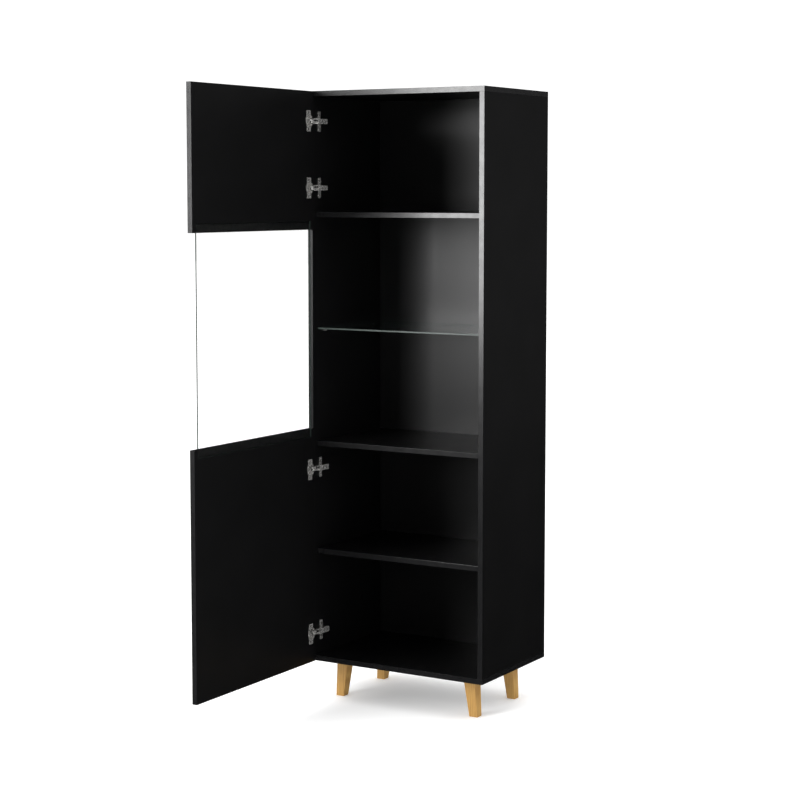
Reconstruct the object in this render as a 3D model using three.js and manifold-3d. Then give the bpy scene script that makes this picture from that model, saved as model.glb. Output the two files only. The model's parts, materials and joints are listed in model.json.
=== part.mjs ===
// China cabinet: a black laminated carcass on four splayed oak legs, with one full-height door that
// has solid panels at its top and bottom and a clear glass middle, hung on four concealed hinges.
//
// Millimetres, +Z up. Inside the carcass group x runs from the left side to the right, y from the
// carcass's front edge to its rear edge, and z up from the underside of the bottom panel. The
// exported group is shifted so that the origin is under the middle of the whole cabinet, on the
// floor, with the door standing open at a right angle.

import * as THREE from 'three';
import { mergeVertices } from 'three/addons/utils/BufferGeometryUtils.js';
import Module from 'manifold-3d';

const wasm = await Module();
wasm.setup();

// ---- Driving dimensions ----
const WIDTH = 600;
const DEPTH = 400;
const HEIGHT = 1724;            // carcass alone, without the legs
const BOARD = 16;               // laminated particleboard
const GAP = 0.3;                // room left round a piece that sits in a cut
const OVERCUT = 1;              // how far a cutting solid runs past the face it opens

// Legs
const LEG_LENGTH = 120;
const LEG_TOP = 38;             // square section at the bottom panel
const LEG_FOOT = 27;            // square section at the floor
const LEG_SPLAY = 13;           // how far the foot stands outwards of the leg's top
const LEG_INSET_X = 79;         // side of the carcass to the middle of the leg's top
const LEG_INSET_Y = 81;         // front or rear edge to the middle of the leg

// Back panel and its groove
const BACK_THICKNESS = 3;
const BACK_FRONT_Y = 387;
const GROOVE_DEPTH = 6;

// Shelves
const SHELF_INSET = 18;         // front edge of a wooden shelf behind the carcass front
const UPPER_SHELF_TOP = 1365.5;
const MIDDLE_SHELF_TOP = 674.5;
const LOWER_SHELF_TOP = 344.5;
const LOOSE_SHELF_GAP = 0.75;   // room at each end of the lift-out shelf
const GLASS_SHELF_TOP = 1018;
const GLASS_SHELF_THICKNESS = 5;
const GLASS_SHELF_INSET = 25;
const GLASS_SHELF_GAP = 2;
const SHELF_REAR_GAP = 2;

// Fasteners inside the boards
const DOWEL_RADIUS = 4;
const DOWEL_IN_PANEL = 10;      // length held by the top or bottom panel
const DOWEL_IN_SIDE = 22;       // length held by the end of the side panel
const DOWEL_INSET = 60;
const BOLT_RADIUS = 4;
const BOLT_IN_PANEL = 12;
const BOLT_IN_LEG = 34;
const PIN_RADIUS = 2.5;
const PIN_COLLAR_RADIUS = 4;
const PIN_COLLAR_LENGTH = 1.5;
const PIN_HEAD_RADIUS = 3;
const PIN_HEAD_LENGTH = 8;
const PIN_HEAD_CHAMFER = 1;
const PIN_IN_PANEL = 8;
const PIN_SIDES = 12;
const PIN_INSET_FRONT = 62;
const PIN_INSET_REAR = 60;

// Door, in its closed position in front of the carcass
const DOOR_REVEAL = 1;          // how much smaller than the carcass the door is, on each side
const DOOR_GAP = 2;             // inner face of the closed door to the carcass front
const DOOR_UPPER_Z = 1313;      // lower edge of the upper solid panel
const DOOR_LOWER_Z = 716;       // upper edge of the lower solid panel
const PANE_THICKNESS = 4;
const PANE_LAP = 25;            // overlap of the pane on each solid panel
const PANE_INSET = 18;          // door's side edge to the pane's side edge
const PANE_ROOM = 0.5;
const TAPE_THICKNESS = 0.7;
const TAPE_MARGIN = 2;          // tape's long edges inside the lap's edges
const REBATE_DEPTH = 5;

// Concealed hinges
const HINGE_FROM_END = 88;      // end of the door to the nearest hinge
const HINGE_FROM_GLASS = 124;   // glass-side end of a solid panel to its hinge
const CUP_RADIUS = 17.5;
const CUP_DEPTH = 12;
const CUP_WALL = 1.2;
const CUP_EDGE = 22.5;          // door's hinge-side end to the middle of the cup
const FLANGE_LENGTH = 62;
const FLANGE_WIDTH = 21;
const FLANGE_THICKNESS = 1.2;
const FLANGE_OFFSET = 3;        // flange's middle beyond the cup's middle
const RIM_RADIUS = 18.5;
const FLANGE_HOLE_SPREAD = 24;  // cup's middle to each screw hole, along the door's edge
const FLANGE_HOLE_OFFSET = 3;   // screw holes beyond the flange's middle
const FLANGE_HOLE_RADIUS = 2.2;
const NOTCH_FLOOR = 2.5;        // the links' notch above the cup's outer bottom
const NOTCH_ROOM = 1;
const CUP_CHEEK_END = 10.5;     // cup's middle to the far end of its inner cheeks
const CUP_CHEEK_SUNK = 1;
const CHEEK = 1.2;              // sheet thickness of the arm's and the cup's cheeks
const CHEEK_INSIDE = 6.2;       // hinge's middle to a cheek's inner face
const LINK_OUTSIDE = 5.8;       // the outer link is below the hinge's middle, the inner one above it
const LINK_INSIDE = 0.4;
const OUTER_LINK_SHEET = 1.6;
const INNER_LINK_SHEET = 1.4;
const LINK_EYE = 1.8;
const LINK_EYE_WALL = 0.8;      // least metal left round an eye's hole
const LINK_PIN_RADIUS = 0.75;
const LINK_PIN_ROOM = 0.25;
const LINK_PIN_SHORT = 0.2;     // room between the ends of the two pins and the links' inner faces
const OPEN_PIVOT_ROOM = 0.65;   // play of the inner link's eye round the cup's second pin
const PLATE_Y = 37;             // carcass front to the middle of the mounting plate
const PLATE_HEIGHT = 60;
const PLATE_WING_WIDTH = 13;
const PLATE_WING_THICKNESS = 2.5;
const SADDLE_FRONT = 20;
const SADDLE_REAR = 56;
const SADDLE_THICKNESS = 12;
const SADDLE_HALF_HEIGHT = 5.9;
const ARM_WEB_LOW = 32.4;       // underside of the arm's web, from the side panel's outer face
const ARM_WEB_THICKNESS = 1.2;
const ARM_WEB_FRONT = 9;
const ARM_REAR = 58;
const ARM_CHEEK_LOW = 22.5;
const ARM_CHEEK_LIP = 2;        // cheeks' margin beyond the rear pivot and in front of the web
const ARM_NOSE_RADIUS = 1.9;
const ARM_NOSE_ARC = Math.PI * 0.9;

// Link pivots as [x, y]. ARM pivots stay with the carcass. CUP pivots are on the closed door.
const OUTER_ARM_PIVOT = [30.09, 12];
const INNER_ARM_PIVOT = [21.8, -1.78];
const OUTER_CUP_PIVOT = [8.67, -4.73];
const INNER_CUP_PIVOT = [9.53, -7.33];
const INNER_LINK_END = [20.2, -15.1];   // the inner link's eye with the door open at a right angle

// The closed door is turned a quarter turn and moved to stand open: (x, y) -> (y + X, Y - x).
const DOOR_OPEN_X = 27.5;
const DOOR_OPEN_Y = -5.5;

const doorRight = WIDTH - DOOR_REVEAL;
const doorReach = doorRight - DOOR_OPEN_Y;   // how far the open door stands out in front
const hingeHeights = [
  HEIGHT - DOOR_REVEAL - HINGE_FROM_END,
  DOOR_UPPER_Z + HINGE_FROM_GLASS,
  DOOR_LOWER_Z - HINGE_FROM_GLASS,
  DOOR_REVEAL + HINGE_FROM_END,
];
const atOpenDoor = ([x, y]) => [y + DOOR_OPEN_X, DOOR_OPEN_Y - x];

// ---- Materials ----
const material = (color, roughness, metalness, extra = {}) =>
  new THREE.MeshStandardMaterial({ color, roughness, metalness, ...extra });
const blackLaminate = material('#141415', 0.38, 0);
const blackBoard = material('#17171a', 0.3, 0);
const oak = material('#c79a5b', 0.5, 0);
const birch = material('#d8bf92', 0.7, 0);
const clearGlass = material('#dfe9e6', 0.05, 0, { transparent: true, opacity: 0.35 });
const nickelSteel = material('#b9b8b4', 0.3, 1);
const zincSteel = material('#a9abad', 0.45, 1);
const clearTape = material('#e6e8e8', 0.5, 0);

// ---- Geometry helpers ----

// Closed block between two corners.
function block(low, high) {
  const size = high.map((value, axis) => value - low[axis]);
  const middle = high.map((value, axis) => (value + low[axis]) / 2);
  return new THREE.BoxGeometry(...size).translate(...middle);
}

// Round bar along z, from one height to another.
function upright([x, y], radius, low, high, sides = 16) {
  const bar = new THREE.CylinderGeometry(radius, radius, high - low, sides);
  return bar.rotateX(Math.PI / 2).translate(x, y, (low + high) / 2);
}

// Flat bar of sheet that stands on edge between two points of the xy plane.
function strip([ax, ay], [bx, by], thickness, low, high) {
  const length = Math.hypot(bx - ax, by - ay);
  const bar = new THREE.BoxGeometry(length, thickness, high - low);
  return bar.rotateZ(Math.atan2(by - ay, bx - ax))
    .translate((ax + bx) / 2, (ay + by) / 2, (low + high) / 2);
}

// three.js geometry as a solid that can be cut and joined.
function solid(geometry) {
  const bare = geometry.clone();
  bare.deleteAttribute('normal');
  bare.deleteAttribute('uv');
  const merged = mergeVertices(bare, 1e-4);
  return new wasm.Manifold(new wasm.Mesh({
    numProp: 3,
    vertProperties: new Float32Array(merged.attributes.position.array),
    triVerts: new Uint32Array(merged.index.array),
  }));
}

function geometryOf(body) {
  const mesh = body.getMesh();
  const geometry = new THREE.BufferGeometry();
  geometry.setAttribute('position', new THREE.BufferAttribute(mesh.vertProperties, 3));
  geometry.setIndex(new THREE.BufferAttribute(mesh.triVerts, 1));
  return geometry;
}

const joined = (pieces) => pieces.map(solid).reduce((whole, piece) => whole.add(piece));
const without = (body, cuts) => cuts.map(solid).reduce((left, cut) => left.subtract(cut), body);
const carve = (geometry, cuts) => geometryOf(without(solid(geometry), cuts));

function add(parent, name, finish, geometry) {
  const mesh = new THREE.Mesh(geometry, finish);
  mesh.name = name;
  parent.add(mesh);
  return mesh;
}

// ---- Carcass boards ----

const frontAndRear = [['front', DOWEL_INSET], ['rear', DEPTH - DOWEL_INSET]];
const sideMiddles = [['left', BOARD / 2], ['right', WIDTH - BOARD / 2]];
const topAndBottom = [
  { place: 'bottom', joint: BOARD, up: 1 },
  { place: 'top', joint: HEIGHT - BOARD, up: -1 },
];
const dowels = topAndBottom.flatMap(({ place, joint, up }) =>
  sideMiddles.flatMap(([side, x]) => frontAndRear.map(([end, y]) => {
    const inPanel = joint - up * DOWEL_IN_PANEL;
    const inSide = joint + up * DOWEL_IN_SIDE;
    return {
      name: `corner_dowel_${place}_${side}_${end}`,
      at: [x, y],
      low: Math.min(inPanel, inSide),
      high: Math.max(inPanel, inSide),
    };
  })));
const dowelHoles = () =>
  dowels.map(({ at, low, high }) => upright(at, DOWEL_RADIUS + GAP, low - GAP, high + GAP));

const legPlaces = [
  ['front_left', LEG_INSET_X, LEG_INSET_Y, -1],
  ['front_right', WIDTH - LEG_INSET_X, LEG_INSET_Y, 1],
  ['rear_left', LEG_INSET_X, DEPTH - LEG_INSET_Y, -1],
  ['rear_right', WIDTH - LEG_INSET_X, DEPTH - LEG_INSET_Y, 1],
];
const legBoltHole = (x, y) =>
  upright([x, y], BOLT_RADIUS + GAP, -BOLT_IN_LEG - GAP, BOLT_IN_PANEL + GAP);

// The back panel's room in every board that holds it.
const backGroove = () => block(
  [BOARD - GROOVE_DEPTH, BACK_FRONT_Y - GAP, BOARD - GROOVE_DEPTH],
  [WIDTH - BOARD + GROOVE_DEPTH, BACK_FRONT_Y + BACK_THICKNESS + GAP, HEIGHT - BOARD + GROOVE_DEPTH],
);

// Supports of the two loose shelves: name, height of the shelf's underside.
const pinShelves = [
  ['glass_shelf', GLASS_SHELF_TOP - GLASS_SHELF_THICKNESS],
  ['lower_shelf', LOWER_SHELF_TOP - BOARD],
];
const shelfPins = pinShelves.flatMap(([shelf, underside]) =>
  [['left', BOARD, 1], ['right', WIDTH - BOARD, -1]].flatMap(([side, face, inwards]) =>
    [['front', PIN_INSET_FRONT], ['rear', DEPTH - PIN_INSET_REAR]].map(([end, y]) => ({
      name: `${shelf}_pin_${side}_${end}`,
      face,
      inwards,
      y,
      z: underside - GAP - PIN_HEAD_RADIUS,
    }))));

// Pin that points into the compartment: shaft in the board, collar on its face, head under the shelf.
function shelfPin({ face, inwards, y, z }, extra = 0) {
  const headEnd = PIN_COLLAR_LENGTH + PIN_HEAD_LENGTH;
  const profile = [
    [0, -PIN_IN_PANEL],
    [PIN_RADIUS, -PIN_IN_PANEL],
    [PIN_RADIUS, GAP],
    [PIN_COLLAR_RADIUS, GAP],
    [PIN_COLLAR_RADIUS, GAP + PIN_COLLAR_LENGTH],
    [PIN_HEAD_RADIUS, GAP + PIN_COLLAR_LENGTH],
    [PIN_HEAD_RADIUS, headEnd - PIN_HEAD_CHAMFER],
    [PIN_HEAD_RADIUS - PIN_HEAD_CHAMFER, headEnd],
    [0, headEnd],
  ].map(([radius, along]) => new THREE.Vector2(radius + (radius > 0 ? extra : 0), along));
  const pin = new THREE.LatheGeometry(profile, PIN_SIDES);
  return pin.rotateZ(-inwards * Math.PI / 2).translate(face, y, z - (PIN_COLLAR_RADIUS - PIN_HEAD_RADIUS));
}

// Blind hole for a pin's shaft.
function pinHole({ face, inwards, y, z }) {
  const radius = PIN_RADIUS + GAP;
  const hole = new THREE.CylinderGeometry(radius, radius, PIN_IN_PANEL + GAP + OVERCUT, PIN_SIDES);
  return hole.rotateZ(Math.PI / 2).translate(
    face - inwards * (PIN_IN_PANEL + GAP - OVERCUT) / 2,
    y,
    z - (PIN_COLLAR_RADIUS - PIN_HEAD_RADIUS),
  );
}

function addBoards(carcass) {
  add(carcass, 'bottom_panel', blackLaminate, carve(
    block([0, 0, 0], [WIDTH, DEPTH, BOARD]),
    [backGroove(), ...dowelHoles(), ...legPlaces.map(([, x, y]) => legBoltHole(x, y))],
  ));
  add(carcass, 'top_panel', blackLaminate, carve(
    block([0, 0, HEIGHT - BOARD], [WIDTH, DEPTH, HEIGHT]),
    [backGroove(), ...dowelHoles()],
  ));
  add(carcass, 'left_side_panel', blackLaminate, carve(
    block([0, 0, BOARD], [BOARD, DEPTH, HEIGHT - BOARD]),
    [backGroove(), ...dowelHoles(), ...shelfPins.filter(({ inwards }) => inwards > 0).map(pinHole)],
  ));
  add(carcass, 'right_side_panel', blackLaminate, carve(
    block([WIDTH - BOARD, 0, BOARD], [WIDTH, DEPTH, HEIGHT - BOARD]),
    [backGroove(), ...dowelHoles(), ...shelfPins.filter(({ inwards }) => inwards < 0).map(pinHole)],
  ));
  const backEdge = BOARD - GROOVE_DEPTH + GAP;
  add(carcass, 'back_panel', blackBoard, block(
    [backEdge, BACK_FRONT_Y, backEdge],
    [WIDTH - backEdge, BACK_FRONT_Y + BACK_THICKNESS, HEIGHT - backEdge],
  ));
  for (const { name, at, low, high } of dowels) {
    add(carcass, name, birch, upright(at, DOWEL_RADIUS, low, high));
  }
}

// ---- Shelves ----

function addShelves(carcass) {
  const rear = BACK_FRONT_Y - GAP;
  const fixedShelves = [['upper_fixed_shelf', UPPER_SHELF_TOP], ['middle_fixed_shelf', MIDDLE_SHELF_TOP]];
  for (const [name, top] of fixedShelves) {
    add(carcass, name, blackLaminate, block([BOARD, SHELF_INSET, top - BOARD], [WIDTH - BOARD, rear, top]));
  }
  const looseEnd = BOARD + LOOSE_SHELF_GAP;
  add(carcass, 'lower_adjustable_shelf', blackLaminate, block(
    [looseEnd, SHELF_INSET, LOWER_SHELF_TOP - BOARD],
    [WIDTH - looseEnd, BACK_FRONT_Y - SHELF_REAR_GAP, LOWER_SHELF_TOP],
  ));
  const glassEnd = BOARD + GLASS_SHELF_GAP;
  add(carcass, 'glass_shelf', clearGlass, block(
    [glassEnd, GLASS_SHELF_INSET, GLASS_SHELF_TOP - GLASS_SHELF_THICKNESS],
    [WIDTH - glassEnd, BACK_FRONT_Y - SHELF_REAR_GAP, GLASS_SHELF_TOP],
  ));
  for (const pin of shelfPins) {
    add(carcass, pin.name, zincSteel, shelfPin(pin));
  }
}

// ---- Legs ----

// Square leg that tapers to its foot and leans outwards. sideways is -1 on the left, 1 on the right.
function legGeometry(x, y, sideways) {
  const section = (half, shift, z) => [
    [x + shift - half, y - half, z],
    [x + shift + half, y - half, z],
    [x + shift + half, y + half, z],
    [x + shift - half, y + half, z],
  ];
  const corners = [
    ...section(LEG_FOOT / 2, sideways * LEG_SPLAY, -LEG_LENGTH),
    ...section(LEG_TOP / 2, 0, 0),
  ];
  const faces = [0, 2, 1, 0, 3, 2, 4, 5, 6, 4, 6, 7];
  for (let side = 0; side < 4; side += 1) {
    const next = (side + 1) % 4;
    faces.push(side, next, next + 4, side, next + 4, side + 4);
  }
  const geometry = new THREE.BufferGeometry();
  geometry.setAttribute('position', new THREE.Float32BufferAttribute(corners.flat(), 3));
  geometry.setIndex(faces);
  return geometry;
}

function addLegs(carcass) {
  for (const [place, x, y, sideways] of legPlaces) {
    const leg = carve(legGeometry(x, y, sideways), [legBoltHole(x, y)]);
    add(carcass, `leg_${place}`, oak, leg);
    add(carcass, `leg_bolt_${place}`, zincSteel,
      upright([x, y], BOLT_RADIUS, -BOLT_IN_LEG, BOLT_IN_PANEL));
  }
}

// ---- Hinge parts that stay on the carcass ----

// Cruciform plate on the side panel: two wings above and below a raised block that the arm sits on.
function mountingPlate(z) {
  const wingFront = PLATE_Y - PLATE_WING_WIDTH / 2;
  const wingTop = BOARD + PLATE_WING_THICKNESS;
  return geometryOf(joined([
    block(
      [BOARD, wingFront, z - PLATE_HEIGHT / 2],
      [wingTop, wingFront + PLATE_WING_WIDTH, z + PLATE_HEIGHT / 2],
    ),
    block(
      [BOARD, SADDLE_FRONT, z - SADDLE_HALF_HEIGHT],
      [BOARD + SADDLE_THICKNESS, SADDLE_REAR, z + SADDLE_HALF_HEIGHT],
    ),
  ]));
}

// Pin that stands on the inner face of one cheek and reaches to the hinge's middle.
// half is -1 for the lower cheek, which carries the outer link, and 1 for the upper cheek.
function linkPin(pivot, z, half) {
  const ends = [LINK_INSIDE + LINK_PIN_SHORT, CHEEK_INSIDE + CHEEK / 2].map((height) => z + half * height);
  return upright(pivot, LINK_PIN_RADIUS, Math.min(...ends), Math.max(...ends));
}

// Channel-shaped arm: a web over the plate, two cheeks, and the two pins that the links turn on.
function hingeArm(z) {
  const webTop = ARM_WEB_LOW + ARM_WEB_THICKNESS;
  const [noseX, noseY] = INNER_ARM_PIVOT;
  const outline = new THREE.Shape();
  outline.moveTo(ARM_CHEEK_LOW, ARM_REAR);
  outline.lineTo(ARM_CHEEK_LOW, OUTER_ARM_PIVOT[1] + ARM_CHEEK_LIP);
  outline.lineTo(noseX - ARM_NOSE_RADIUS, noseY);
  outline.absarc(noseX, noseY, ARM_NOSE_RADIUS, Math.PI, Math.PI + ARM_NOSE_ARC, false);
  outline.lineTo(webTop, ARM_WEB_FRONT - ARM_CHEEK_LIP);
  outline.lineTo(webTop, ARM_REAR);
  outline.closePath();
  const sheet = { depth: CHEEK, bevelEnabled: false, curveSegments: 8 };
  const cheek = (from) => new THREE.ExtrudeGeometry(outline, sheet).translate(0, 0, z + from);
  const halfWidth = CHEEK_INSIDE + CHEEK;
  return geometryOf(joined([
    block([ARM_WEB_LOW, ARM_WEB_FRONT, z - halfWidth], [webTop, ARM_REAR, z + halfWidth]),
    cheek(CHEEK_INSIDE),
    cheek(-halfWidth),
    linkPin(OUTER_ARM_PIVOT, z, -1),
    linkPin(INNER_ARM_PIVOT, z, 1),
  ]));
}

// ---- Links, drawn with the door open at a right angle ----

// Bent strip with rounded bends through the given points, an eye at each end and a hole in each eye.
function bentLink(points, thickness, low, high, lastRoom) {
  const last = points.length - 1;
  const lastHole = LINK_PIN_RADIUS + lastRoom;
  const bends = points.map((point) => upright(point, thickness / 2, low, high, 8));
  const runs = points.slice(1).map((point, index) => strip(points[index], point, thickness, low, high));
  const eyes = [
    upright(points[0], LINK_EYE, low, high),
    upright(points[last], Math.max(LINK_EYE, lastHole + LINK_EYE_WALL), low, high),
  ];
  return geometryOf(without(joined([...bends, ...runs, ...eyes]), [
    upright(points[0], LINK_PIN_RADIUS + LINK_PIN_ROOM, low - OVERCUT, high + OVERCUT),
    upright(points[last], lastHole, low - OVERCUT, high + OVERCUT),
  ]));
}

// Carries the door: it turns on the arm's rear pin and on the cup's first pin.
function outerLink(z) {
  const points = [
    OUTER_ARM_PIVOT, [29, 3], [28, -5.5], [27.9, -11], [26.6, -13.9], [24.4, -14.6],
    atOpenDoor(OUTER_CUP_PIVOT),
  ];
  return bentLink(points, OUTER_LINK_SHEET, z - LINK_OUTSIDE, z - LINK_INSIDE, LINK_PIN_ROOM);
}

// Steers the door: it turns on the arm's front pin, and its other eye has play round the cup's second pin.
function innerLink(z) {
  const points = [
    INNER_ARM_PIVOT, [25, -2.7], [27.4, -5], [28.2, -10.2], [26, -14.6], [23.5, -15.6], INNER_LINK_END,
  ];
  return bentLink(points, INNER_LINK_SHEET, z + LINK_INSIDE, z + LINK_OUTSIDE, OPEN_PIVOT_ROOM);
}

// ---- Door, modelled closed ----

const doorInner = -DOOR_GAP;
const doorOuter = -DOOR_GAP - BOARD;
const cupMiddle = DOOR_REVEAL + CUP_EDGE;
const paneLow = DOOR_LOWER_Z - PANE_LAP;
const paneHigh = DOOR_UPPER_Z + PANE_LAP;
const paneLeft = DOOR_REVEAL + PANE_INSET;
const paneRight = doorRight - PANE_INSET;
const rebateFloor = doorInner - REBATE_DEPTH;

// Round bar along y, such as a drilling into the door's inner face.
function drilling(x, z, radius, low, high, sides = 32) {
  return new THREE.CylinderGeometry(radius, radius, high - low, sides).translate(x, (low + high) / 2, z);
}

function doorPanel(low, high, rebate, hinges) {
  const bores = hinges.map((z) =>
    drilling(cupMiddle, z, CUP_RADIUS + GAP, doorInner - CUP_DEPTH - GAP, doorInner + OVERCUT));
  const room = block(
    [paneLeft - PANE_ROOM, rebateFloor, rebate[0]],
    [paneRight + PANE_ROOM, doorInner + OVERCUT, rebate[1]],
  );
  return carve(block([DOOR_REVEAL, doorOuter, low], [doorRight, doorInner, high]), [room, ...bores]);
}

// Drawn cup with its screw flange, a notch for the links, two inner cheeks and the link pins.
function hingeCup(z) {
  const floor = doorInner - CUP_DEPTH;
  const flangeTop = doorInner + FLANGE_THICKNESS;
  const flangeX = cupMiddle + FLANGE_OFFSET;
  const shell = joined([
    drilling(cupMiddle, z, CUP_RADIUS, floor, doorInner + FLANGE_THICKNESS / 2),
    drilling(cupMiddle, z, RIM_RADIUS, doorInner, flangeTop),
    block(
      [flangeX - FLANGE_WIDTH / 2, doorInner, z - FLANGE_LENGTH / 2],
      [flangeX + FLANGE_WIDTH / 2, flangeTop, z + FLANGE_LENGTH / 2],
    ),
  ]);
  const hollow = drilling(cupMiddle, z, CUP_RADIUS - CUP_WALL, floor + CUP_WALL, flangeTop + OVERCUT);
  const halfWidth = CHEEK_INSIDE + CHEEK;
  const notch = block(
    [cupMiddle - RIM_RADIUS - OVERCUT, floor + NOTCH_FLOOR, z - halfWidth - NOTCH_ROOM],
    [cupMiddle - CUP_RADIUS / 2, flangeTop + OVERCUT, z + halfWidth + NOTCH_ROOM],
  );
  const holeX = flangeX + FLANGE_HOLE_OFFSET;
  const screwHoles = [-FLANGE_HOLE_SPREAD, FLANGE_HOLE_SPREAD].map((offset) =>
    drilling(holeX, z + offset, FLANGE_HOLE_RADIUS, doorInner - OVERCUT, flangeTop + OVERCUT, 20));
  const cheekFront = cupMiddle - Math.sqrt((CUP_RADIUS - CUP_WALL / 10) ** 2 - halfWidth ** 2);
  const cheeks = [CHEEK_INSIDE, -halfWidth].map((from) => block(
    [cheekFront, floor + CUP_WALL / 2, z + from],
    [cupMiddle - CUP_CHEEK_END, doorInner - CUP_CHEEK_SUNK, z + from + CHEEK],
  ));
  const pins = [linkPin(OUTER_CUP_PIVOT, z, -1), linkPin(INNER_CUP_PIVOT, z, 1)];
  const drawn = without(shell, [hollow, notch, ...screwHoles]);
  return geometryOf(drawn.add(joined([...cheeks, ...pins])));
}

function addDoor(door) {
  const upperRebate = [DOOR_UPPER_Z - OVERCUT, paneHigh + PANE_ROOM];
  const lowerRebate = [paneLow - PANE_ROOM, DOOR_LOWER_Z + OVERCUT];
  add(door, 'door_upper_panel', blackLaminate,
    doorPanel(DOOR_UPPER_Z, HEIGHT - DOOR_REVEAL, upperRebate, hingeHeights.slice(0, 2)));
  add(door, 'door_lower_panel', blackLaminate,
    doorPanel(DOOR_REVEAL, DOOR_LOWER_Z, lowerRebate, hingeHeights.slice(2)));
  const paneOuter = rebateFloor + TAPE_THICKNESS;
  add(door, 'door_glass', clearGlass, block(
    [paneLeft, paneOuter, paneLow], [paneRight, paneOuter + PANE_THICKNESS, paneHigh]));
  const laps = [['upper', DOOR_UPPER_Z, paneHigh], ['lower', paneLow, DOOR_LOWER_Z]];
  for (const [place, low, high] of laps) {
    add(door, `${place}_glazing_tape`, clearTape, block(
      [paneLeft, rebateFloor, low + TAPE_MARGIN],
      [paneRight, paneOuter, high - TAPE_MARGIN],
    ));
  }
  hingeHeights.forEach((z, index) => add(door, `hinge_cup_${index + 1}`, nickelSteel, hingeCup(z)));
}

// ---- Assembly ----

const cabinet = new THREE.Group();
const carcass = new THREE.Group();
carcass.position.set(-WIDTH / 2, (doorReach - DEPTH) / 2, LEG_LENGTH);
cabinet.add(carcass);

addBoards(carcass);
addShelves(carcass);
addLegs(carcass);
hingeHeights.forEach((z, index) => {
  add(carcass, `hinge_plate_${index + 1}`, nickelSteel, mountingPlate(z));
  add(carcass, `hinge_arm_${index + 1}`, nickelSteel, hingeArm(z));
  add(carcass, `hinge_outer_link_${index + 1}`, nickelSteel, outerLink(z));
  add(carcass, `hinge_inner_link_${index + 1}`, nickelSteel, innerLink(z));
});

const door = new THREE.Group();
door.rotation.z = -Math.PI / 2;
door.position.set(DOOR_OPEN_X, DOOR_OPEN_Y, 0);
carcass.add(door);
addDoor(door);

export default cabinet;
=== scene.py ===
"""China cabinet: satin black laminate, oak legs, clear glass and nickel-plated hinges, round the CAD frame.

Metres, +Z up, in the frame's own axes. The cabinet's open front faces -Y, and at rest its door stands
open at a right angle.
"""

import json
import math

import bmesh
import bpy
from mathutils import Matrix, Vector


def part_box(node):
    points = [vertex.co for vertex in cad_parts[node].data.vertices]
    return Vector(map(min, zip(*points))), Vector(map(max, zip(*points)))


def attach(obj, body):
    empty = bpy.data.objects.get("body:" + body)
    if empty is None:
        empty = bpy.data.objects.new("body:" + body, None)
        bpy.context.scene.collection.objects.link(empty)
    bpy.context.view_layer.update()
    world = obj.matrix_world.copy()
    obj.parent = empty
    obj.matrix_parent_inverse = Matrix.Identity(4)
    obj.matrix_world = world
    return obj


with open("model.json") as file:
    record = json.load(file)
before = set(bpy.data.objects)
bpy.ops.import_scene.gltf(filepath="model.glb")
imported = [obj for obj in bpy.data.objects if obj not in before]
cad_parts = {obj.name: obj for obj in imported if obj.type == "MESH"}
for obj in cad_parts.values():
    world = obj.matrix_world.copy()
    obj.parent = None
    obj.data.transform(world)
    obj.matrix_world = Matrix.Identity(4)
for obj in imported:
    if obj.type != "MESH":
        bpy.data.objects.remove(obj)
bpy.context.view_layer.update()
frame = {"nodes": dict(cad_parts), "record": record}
NODES = frame["nodes"]

MM = 0.001
HINGES = (1, 2, 3, 4)

# Most of a noise texture's values lie between these.
NOISE_LOW = 0.3
NOISE_HIGH = 0.7

WELD_DISTANCE = 0.01 * MM
FLAT_ANGLE = math.radians(0.5)      # facets that meet at less than this become one face
SHARP_ANGLE = math.radians(35)      # edges that turn more than this are rounded
ROUND_SEGMENTS = 3
NARROW_FACE = 0.5                   # part of a narrow face's normal that may lie along the thin axis

# ---- Helpers ----


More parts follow.
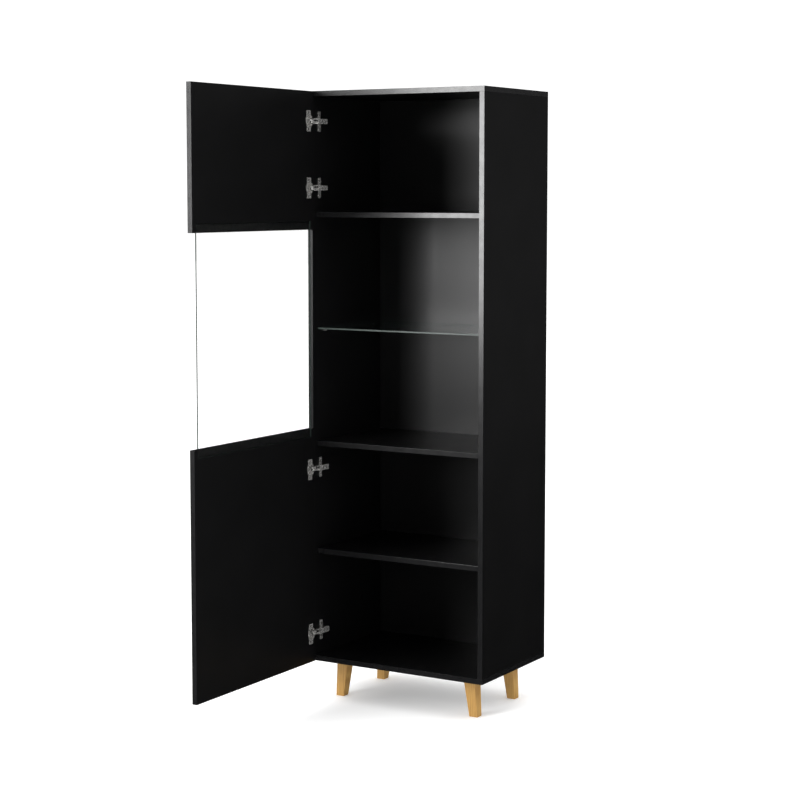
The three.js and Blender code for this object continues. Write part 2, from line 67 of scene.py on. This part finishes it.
class Shader:
    """A node material with one Principled shader.

    Numbers are set on its sockets, and textures are linked to them.
    """

    def __init__(self, name, color, roughness, metallic=0.0, **sockets):
        self.material = bpy.data.materials.new(name)
        self.material.use_nodes = True
        self.tree = self.material.node_tree
        self.shader = self.tree.nodes["Principled BSDF"]
        self.set(self.shader, {"Base Color": (*color, 1), "Roughness": roughness, "Metallic": metallic})
        self.set(self.shader, sockets)
        self.place = self.node("ShaderNodeTexCoord").outputs["Object"]

    def set(self, node, values):
        for name, value in values.items():
            node.inputs[name].default_value = value

    def node(self, kind, **inputs):
        made = self.tree.nodes.new(kind)
        self.set(made, inputs)
        return made

    def link(self, output, target):
        self.tree.links.new(output, target)

    def drive(self, socket, output):
        self.link(output, self.shader.inputs[socket])

    def scaled(self, x, y, z):
        """Object coordinates stretched by a factor along each axis."""
        mapping = self.node("ShaderNodeMapping", Scale=(x, y, z))
        self.link(self.place, mapping.inputs["Vector"])
        return mapping.outputs["Vector"]

    def noise(self, scale, detail, roughness=0.5, at=None):
        noise = self.node("ShaderNodeTexNoise", Scale=scale, Detail=detail, Roughness=roughness)
        self.link(at or self.place, noise.inputs["Vector"])
        return noise.outputs["Fac"]

    def spread(self, value, low, high, start=NOISE_LOW, end=NOISE_HIGH):
        """value, from start to end, spread over low to high."""
        spread = self.node("ShaderNodeMapRange")
        for name, number in (("From Min", start), ("From Max", end), ("To Min", low), ("To Max", high)):
            spread.inputs[name].default_value = number
        self.link(value, spread.inputs["Value"])
        return spread.outputs["Result"]

    def colors(self, value, *stops):
        """Colour ramp of (position, colour) stops."""
        ramp = self.node("ShaderNodeValToRGB")
        elements = ramp.color_ramp.elements
        for index, (position, color) in enumerate(stops):
            stop = elements[index] if index < 2 else elements.new(position)
            stop.position = position
            stop.color = (*color, 1)
        self.link(value, ramp.inputs["Fac"])
        return ramp.outputs["Color"]

    def vary_color(self, value, low, high):
        """Base colour that goes from low to high with a noise value."""
        self.drive("Base Color", self.colors(value, (NOISE_LOW, low), (NOISE_HIGH, high)))

    def vary_roughness(self, value, low, high, start=NOISE_LOW, end=NOISE_HIGH):
        """Roughness that goes from low to high with a value that goes from start to end."""
        self.drive("Roughness", self.spread(value, low, high, start, end))

    def bump(self, height, strength, distance):
        bump = self.node("ShaderNodeBump", Strength=strength, Distance=distance)
        self.link(height, bump.inputs["Height"])
        self.drive("Normal", bump.outputs["Normal"])


def darker(color, factor):
    return tuple(factor * part for part in color)


def add_object(name, data):
    """New object in the scene, at the origin."""
    made = bpy.data.objects.new(name, data)
    bpy.context.scene.collection.objects.link(made)
    return made


def mesh_of(made, name):
    """Mesh from a bmesh, which is freed."""
    mesh = bpy.data.meshes.new(name)
    made.to_mesh(mesh)
    made.free()
    return mesh


def add_bevel(piece, width, segments):
    bevel = piece.modifiers.new("round", "BEVEL")
    bevel.width = width
    bevel.segments = segments
    bevel.limit_method = "ANGLE"
    bevel.angle_limit = SHARP_ANGLE
    return bevel


# ---- Materials ----


def black_laminate():
    """Melamine-faced board: near black, satin, with the faint pearl texture of the pressing plate."""
    look = Shader("black_laminate", (0.0055, 0.0055, 0.006), 0.38, **{"Specular IOR Level": 0.36})
    look.vary_color(look.noise(7, 4), (0.0051, 0.0051, 0.0054), (0.0061, 0.0060, 0.0064))
    look.vary_roughness(look.noise(11, 5), 0.38, 0.40)
    look.bump(look.noise(1100, 2), 0.05, 0.1 * MM)
    return look.material


def edge_band():
    """ABS edging on the boards' narrow faces: a little glossier than the wide faces."""
    look = Shader("black_edge_band", (0.0075, 0.0075, 0.008), 0.24, **{"Specular IOR Level": 0.55})
    look.vary_color(look.noise(30, 3), (0.0068, 0.0068, 0.0072), (0.0088, 0.0087, 0.0092))
    look.vary_roughness(look.noise(40, 3), 0.22, 0.27)
    look.bump(look.noise(700, 1), 0.02, 0.05 * MM)
    return look.material


def back_board():
    """Painted hardboard: smoother and a little glossier than the laminate."""
    look = Shader("black_back_board", (0.006, 0.006, 0.0065), 0.32, **{"Specular IOR Level": 0.5})
    look.vary_color(look.noise(9, 5), (0.0052, 0.0052, 0.0055), (0.0070, 0.0069, 0.0073))
    look.vary_roughness(look.noise(14, 5), 0.32, 0.335)
    look.bump(look.noise(900, 2), 0.04, 0.1 * MM)
    return look.material


def oak():
    """Clear-lacquered oak with the grain along the leg: growth rings, slow drifts of tone and long pores."""
    look = Shader("oak", (0.46, 0.26, 0.07), 0.42, **{"Specular IOR Level": 0.4})
    drift = look.noise(1.0, 3, at=look.scaled(9, 9, 1.3))
    rings = look.node("ShaderNodeTexWave", Scale=55, Distortion=5.5, Detail=3, **{"Detail Scale": 1.2})
    rings.bands_direction = "X"
    look.link(look.scaled(1, 0.8, 0.06), rings.inputs["Vector"])
    pores = look.noise(1.0, 4, 0.65, at=look.scaled(900, 900, 26))
    grain = look.node("ShaderNodeMix", Factor=0.45)
    look.link(rings.outputs["Fac"], grain.inputs["A"])
    look.link(drift, grain.inputs["B"])
    light, middle, dark = (0.51, 0.300, 0.088), (0.46, 0.260, 0.071), (0.39, 0.210, 0.054)
    tone = look.colors(grain.outputs["Result"], (0.15, light), (0.85, dark), (0.5, middle))
    shade = look.colors(pores, (0.30, (0.62, 0.56, 0.50)), (0.46, (1, 1, 1)))
    mixed = look.node("ShaderNodeMix")
    mixed.data_type = "RGBA"
    mixed.blend_type = "MULTIPLY"
    mixed.inputs["Factor"].default_value = 0.55
    look.link(tone, mixed.inputs["A"])
    look.link(shade, mixed.inputs["B"])
    look.drive("Base Color", mixed.outputs["Result"])
    look.vary_roughness(pores, 0.52, 0.38)
    look.bump(pores, 0.25, 0.12 * MM)
    return look.material


def birch():
    """Raw birch of the hidden dowels."""
    look = Shader("birch_dowel", (0.68, 0.53, 0.32), 0.7)
    look.vary_color(look.noise(1, 4, at=look.scaled(400, 400, 20)), (0.60, 0.45, 0.26), (0.74, 0.60, 0.38))
    look.bump(look.noise(1, 3, at=look.scaled(900, 900, 40)), 0.3, 0.15 * MM)
    return look.material


def glass(name, tint, facing_mirror, grazing_mirror):
    """Clear float glass as a thin mirror that is nearly see-through face on, with a trace of dust.

    facing_mirror and grazing_mirror are its opacity face on and at a glancing angle.
    """
    look = Shader(name, tint, 0.0, 1.0)
    look.vary_color(look.noise(6, 3), tint, darker(tint, 0.97))
    look.vary_roughness(look.noise(18, 5), 0.0, 0.03, 0.45, 0.8)
    slant = look.node("ShaderNodeLayerWeight", Blend=0.5).outputs["Facing"]
    steep = look.node("ShaderNodeMath")
    steep.operation = "POWER"
    steep.inputs[1].default_value = 5
    look.link(slant, steep.inputs[0])
    look.drive("Alpha", look.spread(steep.outputs["Value"], facing_mirror, grazing_mirror, 0, 1))
    return look.material


def ground_edge():
    """Ground and polished edge of a pane: dark bottle green."""
    look = Shader("glass_edge", (0.030, 0.042, 0.038), 0.25, IOR=1.5)
    look.vary_color(look.noise(60, 3), (0.024, 0.035, 0.031), (0.038, 0.052, 0.047))
    look.vary_roughness(look.noise(500, 3), 0.16, 0.28)
    return look.material


def steel(name, color, roughness, metallic):
    """Plated pressed steel with small differences in tone and gloss."""
    look = Shader(name, color, roughness, metallic)
    look.vary_color(look.noise(60, 3), darker(color, 0.88), color)
    look.vary_roughness(look.noise(150, 4), roughness - 0.04, roughness + 0.05)
    return look.material


def clear_tape():
    """Clear acrylic tape pressed flat on black board, which shows through it as a dark grey."""
    look = Shader("clear_tape", (0.010, 0.0105, 0.0105), 0.5)
    look.vary_color(look.noise(40, 3), (0.0085, 0.009, 0.009), (0.0120, 0.0125, 0.0125))
    look.vary_roughness(look.noise(120, 3), 0.42, 0.58)
    look.bump(look.noise(700, 2), 0.2, 0.1 * MM)
    return look.material


FINISHES = {
    "black_laminate": black_laminate(),
    "back_board": back_board(),
    "birch_dowel": birch(),
    "clear_glass": glass("clear_glass", (0.95, 0.98, 0.97), 0.04, 1.0),
    "oak": oak(),
    "shelf_pin_steel": steel("shelf_pin_steel", (0.70, 0.69, 0.67), 0.26, 0.85),
    "zinc_steel": steel("zinc_steel", (0.60, 0.61, 0.62), 0.38, 1.0),
    "hinge_nickel": steel("hinge_nickel", (0.72, 0.71, 0.69), 0.24, 0.75),
    "clear_tape": clear_tape(),
}
EDGE_BAND = edge_band()
SCREW_STEEL = steel("screw_steel", (0.52, 0.51, 0.50), 0.20, 0.9)
GLASS_EDGE = ground_edge()

# The material on the narrow faces of the boards and panes.
EDGES = {"black_laminate": EDGE_BAND, "clear_glass": GLASS_EDGE}

# How far each finish's sharp edges are rounded.
ROUNDING = {
    "black_laminate": 1.0 * MM,
    "back_board": 0.3 * MM,
    "birch_dowel": 0.5 * MM,
    "clear_glass": 0.5 * MM,
    "oak": 1.4 * MM,
    "shelf_pin_steel": 0.3 * MM,
    "zinc_steel": 0.4 * MM,
    "hinge_nickel": 0.25 * MM,
    "clear_tape": 0.1 * MM,
}

# ---- CAD nodes ----


def round_edges(piece, width):
    """Welds, cleans and rounds the piece's sharp edges without touching its own mesh."""
    piece.modifiers.new("weld", "WELD").merge_threshold = WELD_DISTANCE
    flat = piece.modifiers.new("clean", "DECIMATE")
    flat.decimate_type = "DISSOLVE"
    flat.angle_limit = FLAT_ANGLE
    add_bevel(piece, width, ROUND_SEGMENTS).harden_normals = True
    normals = piece.modifiers.new("normals", "WEIGHTED_NORMAL")
    normals.keep_sharp = True


def smooth(piece):
    """Smooth shading, with the imported facets' own normals dropped."""
    mesh = piece.data
    for name in ("custom_normal", "sharp_face", "sharp_edge"):
        attribute = mesh.attributes.get(name)
        if attribute is not None:
            mesh.attributes.remove(attribute)
    for face in mesh.polygons:
        face.use_smooth = True


def finish_edges(piece, material):
    """The narrow faces of a board or pane take a second material, and its two wide faces keep theirs."""
    low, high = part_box(piece.name)
    size = high - low
    thin = min(range(3), key=lambda axis: size[axis])
    piece.data.materials.append(material)
    for face in piece.data.polygons:
        if abs(face.normal[thin]) < NARROW_FACE:
            face.material_index = 1


# The small bright metal parts, which have lights of their own.
METAL = bpy.data.collections.new("metal")

# What the key light skips: it would show in the closed door's pane as a white rectangle.
KEY_SKIPS = bpy.data.collections.new("pane_kept_out_of_the_key_light")
KEY_SKIPS.objects.link(NODES["door_glass"])
KEY_SKIPS.collection_objects[0].light_linking.link_state = "EXCLUDE"

slots = {entry["node"]: entry["material_slot"] for entry in frame["record"]["subparts"]}
for name, node in NODES.items():
    finish = slots[name]
    node.data.materials.clear()
    node.data.materials.append(FINISHES[finish])
    smooth(node)
    if finish in EDGES:
        finish_edges(node, EDGES[finish])
    if finish in ("hinge_nickel", "shelf_pin_steel"):
        METAL.objects.link(node)
    round_edges(node, ROUNDING[finish])

# ---- Screws ----

HEAD_SIDES = 32
HEAD_STEPS = 6              # steps in the dome of a head
HEAD_SINK = 0.4             # depth of a head below the surface, as a part of its rise above it
HEAD_FOOT = 0.9             # radius of a head's lower end, as a part of its widest radius
RECESS_WIDTH = 0.34         # width of the recess's arms, as a part of their reach
RECESS_FLOOR_REACH = 0.55   # the recess at its floor, as a part of its top
RECESS_FLOOR_WIDTH = 0.7
RECESS_TOP = 1.5            # heights of the recess's two ends, as parts of the head's rise
RECESS_FLOOR = -0.15
SCREW_ROUNDING = 0.12 * MM
SCREW_ROUND_SEGMENTS = 2
SCREW_CREASE = math.radians(40)


def lathe(outline, sides):
    """Closed bmesh of revolution about z from (radius, height) points that start and end on the axis."""
    made = bmesh.new()
    rings = []
    for radius, height in outline:
        count = sides if radius > 0 else 1
        turns = [2 * math.pi * step / sides for step in range(count)]
        ring = [made.verts.new((radius * math.cos(turn), radius * math.sin(turn), height)) for turn in turns]
        rings.append(ring)
    for low, high in zip(rings, rings[1:]):
        for step in range(sides):
            after = (step + 1) % sides
            lower = [low[step % len(low)], low[after % len(low)]]
            upper = [high[after % len(high)], high[step % len(high)]]
            made.faces.new(list(dict.fromkeys(lower + upper)))
    bmesh.ops.recalc_face_normals(made, faces=made.faces)
    return made


def recess_bar(rise, drive, turn):
    """One arm pair of the cross recess: a bar that tapers downwards."""
    bar = bmesh.new()
    bmesh.ops.create_cube(bar, size=1)
    for corner in bar.verts:
        top = corner.co.z > 0
        length = drive * (1.0 if top else RECESS_FLOOR_REACH)
        corner.co.x *= 2 * length
        corner.co.y *= RECESS_WIDTH * drive * (1.0 if top else RECESS_FLOOR_WIDTH)
        corner.co.z = rise * RECESS_TOP if top else RECESS_FLOOR * rise
    bar.transform(Matrix.Rotation(turn, 4, "Z"))
    return bar


def screw_mesh(name, radius, rise, drive):
    """Raised head with a tapered cross recess. z = 0 is the surface that it is driven into."""
    outline = [(0, -HEAD_SINK * rise), (radius * HEAD_FOOT, -HEAD_SINK * rise), (radius, 0)]
    for step in range(1, HEAD_STEPS + 1):
        angle = math.pi / 2 * step / HEAD_STEPS
        outline.append((radius * math.cos(angle) if step < HEAD_STEPS else 0, rise * math.sin(angle)))
    head = add_object(name + "_blank", mesh_of(lathe(outline, HEAD_SIDES), name + "_blank"))
    cutters = []
    for turn in (0, math.pi / 2):
        cutter = add_object(f"{name}_cutter", mesh_of(recess_bar(rise, drive, turn), f"{name}_cutter"))
        cut = head.modifiers.new("recess", "BOOLEAN")
        cut.operation = "DIFFERENCE"
        cut.solver = "EXACT"
        cut.object = cutter
        cutters.append(cutter)
    add_bevel(head, SCREW_ROUNDING, SCREW_ROUND_SEGMENTS)
    bpy.context.view_layer.update()
    shaped = bpy.data.meshes.new_from_object(head.evaluated_get(bpy.context.evaluated_depsgraph_get()))
    shaped.name = name
    for helper in (head, *cutters):
        bpy.data.objects.remove(helper)
    shaped.materials.clear()
    shaped.materials.append(SCREW_STEEL)
    shaped.shade_smooth()
    shaped.set_sharp_from_angle(angle=SCREW_CREASE)
    return shaped


def drive_screw(name, mesh, at, turn, body):
    """Places a screw whose head faces the right, +X, as all of them do at rest."""
    screw = add_object(name, mesh)
    aim = Vector((1, 0, 0)).to_track_quat("Z", "Y").to_matrix().to_4x4()
    screw.matrix_world = Matrix.Translation(at) @ aim @ Matrix.Rotation(turn, 4, "Z")
    METAL.objects.link(screw)
    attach(screw, body)


FLANGE_SCREW = screw_mesh("flange_screw_mesh", 3.6 * MM, 1.4 * MM, 2.0 * MM)
ARM_SCREW = screw_mesh("arm_screw_mesh", 3.0 * MM, 1.5 * MM, 1.7 * MM)
FLANGE_SCREW_SPREAD = 24 * MM       # hinge's middle to each flange screw
FLANGE_SCREW_INSET = 12.5 * MM      # far side of the cup's rim to the flange screws
PLATE_WING_THICKNESS = 2.5 * MM
PLATE_SCREW_SPREAD = 21 * MM        # hinge's middle to each plate screw
PLATE_SCREW_INSET = 17 * MM         # front end of the plate to its screws
ARM_SCREW_PLACES = (28 * MM, 11 * MM)   # rear end of the arm to its screws

# Angles, in radians, at which the screws happened to stop.
FIRST_TURN = 0.4
TURN_PER_HINGE = 0.7
TURN_PER_SIDE = 0.5
PLATE_TURN_FACTOR = 1.1
ARM_TURN_PER_HINGE = 0.3
ARM_TURN_PER_METRE = 60


def add_screws(index):
    """Two screws in the cup's flange, two in the mounting plate's wings and two in the arm."""
    cup_low, cup_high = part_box(f"hinge_cup_{index}")
    plate_low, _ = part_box(f"hinge_plate_{index}")
    _, arm_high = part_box(f"hinge_arm_{index}")
    middle = (cup_low.z + cup_high.z) / 2
    wing_face = plate_low.x + PLATE_WING_THICKNESS
    wing_y = plate_low.y + PLATE_SCREW_INSET
    for side, word in ((-1, "lower"), (1, "upper")):
        turn = FIRST_TURN + TURN_PER_HINGE * index + TURN_PER_SIDE * side
        at = (cup_high.x, cup_low.y + FLANGE_SCREW_INSET, middle + side * FLANGE_SCREW_SPREAD)
        drive_screw(f"flange_screw_{index}_{word}", FLANGE_SCREW, at, turn, "door")
        turn = PLATE_TURN_FACTOR * turn
        at = (wing_face, wing_y, middle + side * PLATE_SCREW_SPREAD)
        drive_screw(f"plate_screw_{index}_{word}", FLANGE_SCREW, at, turn, "carcass")
    for back, word in zip(ARM_SCREW_PLACES, ("front", "rear")):
        turn = ARM_TURN_PER_HINGE * index + back * ARM_TURN_PER_METRE
        at = (arm_high.x, arm_high.y - back, middle)
        drive_screw(f"arm_screw_{index}_{word}", ARM_SCREW, at, turn, "carcass")


for index in HINGES:
    add_screws(index)

# ---- Studio ----

FLOOR_HALF = 30
FLOOR_GLOW = 0.22
SURROUND_STRENGTH = 1.15
SKY_STRENGTH = 0.45
SKY_SPREAD = math.radians(120)
CABINET_MIDDLE = (0, 0, 1.0)
GLINT_TARGET = (-0.28, 0.12, 1.2)   # in line with the hinges, above their middle

CAMERA_PLACE = (2.8973, -4.6828, 1.5441)
CAMERA_TURN = math.radians(31.0)    # round to the right from square on
CAMERA_DIP = math.radians(5.25)     # below level
CAMERA_LENS = 86.05
CAMERA_SENSOR = 36
CAMERA_SHIFT = -0.04


def add_floor():
    """Plain pale floor, large enough to run past every view. It glows a little to stay white."""
    made = bmesh.new()
    signs = ((-1, -1), (1, -1), (1, 1), (-1, 1))
    made.faces.new([made.verts.new((x * FLOOR_HALF, y * FLOOR_HALF, 0)) for x, y in signs])
    floor = add_object("floor", mesh_of(made, "floor"))
    look = Shader("pale_floor", (0.96, 0.96, 0.96), 0.8, **{"Specular IOR Level": 0.1})
    look.vary_color(look.noise(2, 3), (0.955, 0.955, 0.955), (0.965, 0.965, 0.965))
    look.set(look.shader, {"Emission Color": (1, 1, 1, 1), "Emission Strength": FLOOR_GLOW})
    floor.data.materials.append(look.material)
    floor.visible_glossy = False


def add_softbox(name, at, target, width, height, radiance):
    """Area light that faces target. Its power follows from its area and the brightness wanted."""
    light = bpy.data.lights.new(name, "AREA")
    light.shape = "RECTANGLE"
    light.size = width
    light.size_y = height
    light.energy = radiance * math.pi * width * height
    lamp = add_object(name, light)
    lamp.location = at
    lamp.rotation_euler = (Vector(target) - Vector(at)).to_track_quat("-Z", "Y").to_euler()
    lamp.visible_camera = False
    return lamp


def add_glint(name, at, width, height, radiance):
    """Softbox that only the small bright metal parts catch, as if flagged off from the black boards."""
    lamp = add_softbox(name, at, GLINT_TARGET, width, height, radiance)
    lamp.light_linking.receiver_collection = METAL


def add_sky():
    """Very soft light from straight above that brings the floor up to white."""
    light = bpy.data.lights.new("sky", "SUN")
    light.energy = SKY_STRENGTH
    light.angle = SKY_SPREAD
    lamp = add_object("sky", light)
    lamp.visible_glossy = False


def add_world():
    """Even white surroundings that light the object but don't show in its gloss."""
    world = bpy.data.worlds.new("white_studio")
    world.use_nodes = True
    background = world.node_tree.nodes["Background"]
    background.inputs["Color"].default_value = (1, 1, 1, 1)
    background.inputs["Strength"].default_value = SURROUND_STRENGTH
    world.cycles_visibility.glossy = False
    bpy.context.scene.world = world


def add_camera():
    """Standing in front and to the right at about eye level, looking slightly down at the cabinet."""
    camera = bpy.data.cameras.new("camera")
    camera.sensor_width = CAMERA_SENSOR
    camera.lens = CAMERA_LENS
    camera.shift_y = CAMERA_SHIFT
    eye = add_object("camera", camera)
    eye.location = CAMERA_PLACE
    eye.rotation_euler = (math.radians(90) - CAMERA_DIP, 0, CAMERA_TURN)
    bpy.context.scene.camera = eye


add_floor()
add_world()
key = add_softbox("key", at=(-1.43, -3.3, 1.78), target=(0.1, 0.2, 1.45), width=1.1, height=1.7, radiance=16)
key.light_linking.receiver_collection = KEY_SKIPS
add_softbox("overhead", (0.2, -0.4, 4.2), (0, 0, 0), width=3.5, height=3.5, radiance=0.6)
add_softbox("right_rear", (4.2, 3.6, 1.6), CABINET_MIDDLE, width=5.0, height=3.0, radiance=0.13)
add_softbox("rear_fill", (-0.8, 5.0, 2.2), CABINET_MIDDLE, width=3.0, height=2.6, radiance=0.35)
add_softbox("left_fill", (-4.6, 0.6, 2.0), CABINET_MIDDLE, width=3.0, height=3.0, radiance=0.25)
add_glint("glint_right", (2.6, -3.2, 2.6), width=2.4, height=2.4, radiance=1.2)
add_glint("glint_front", (-0.2, -4.2, 1.2), width=0.8, height=3.0, radiance=3.0)
add_sky()
add_camera()

scene = bpy.context.scene
scene.view_settings.view_transform = "Standard"
scene.view_settings.look = "None"
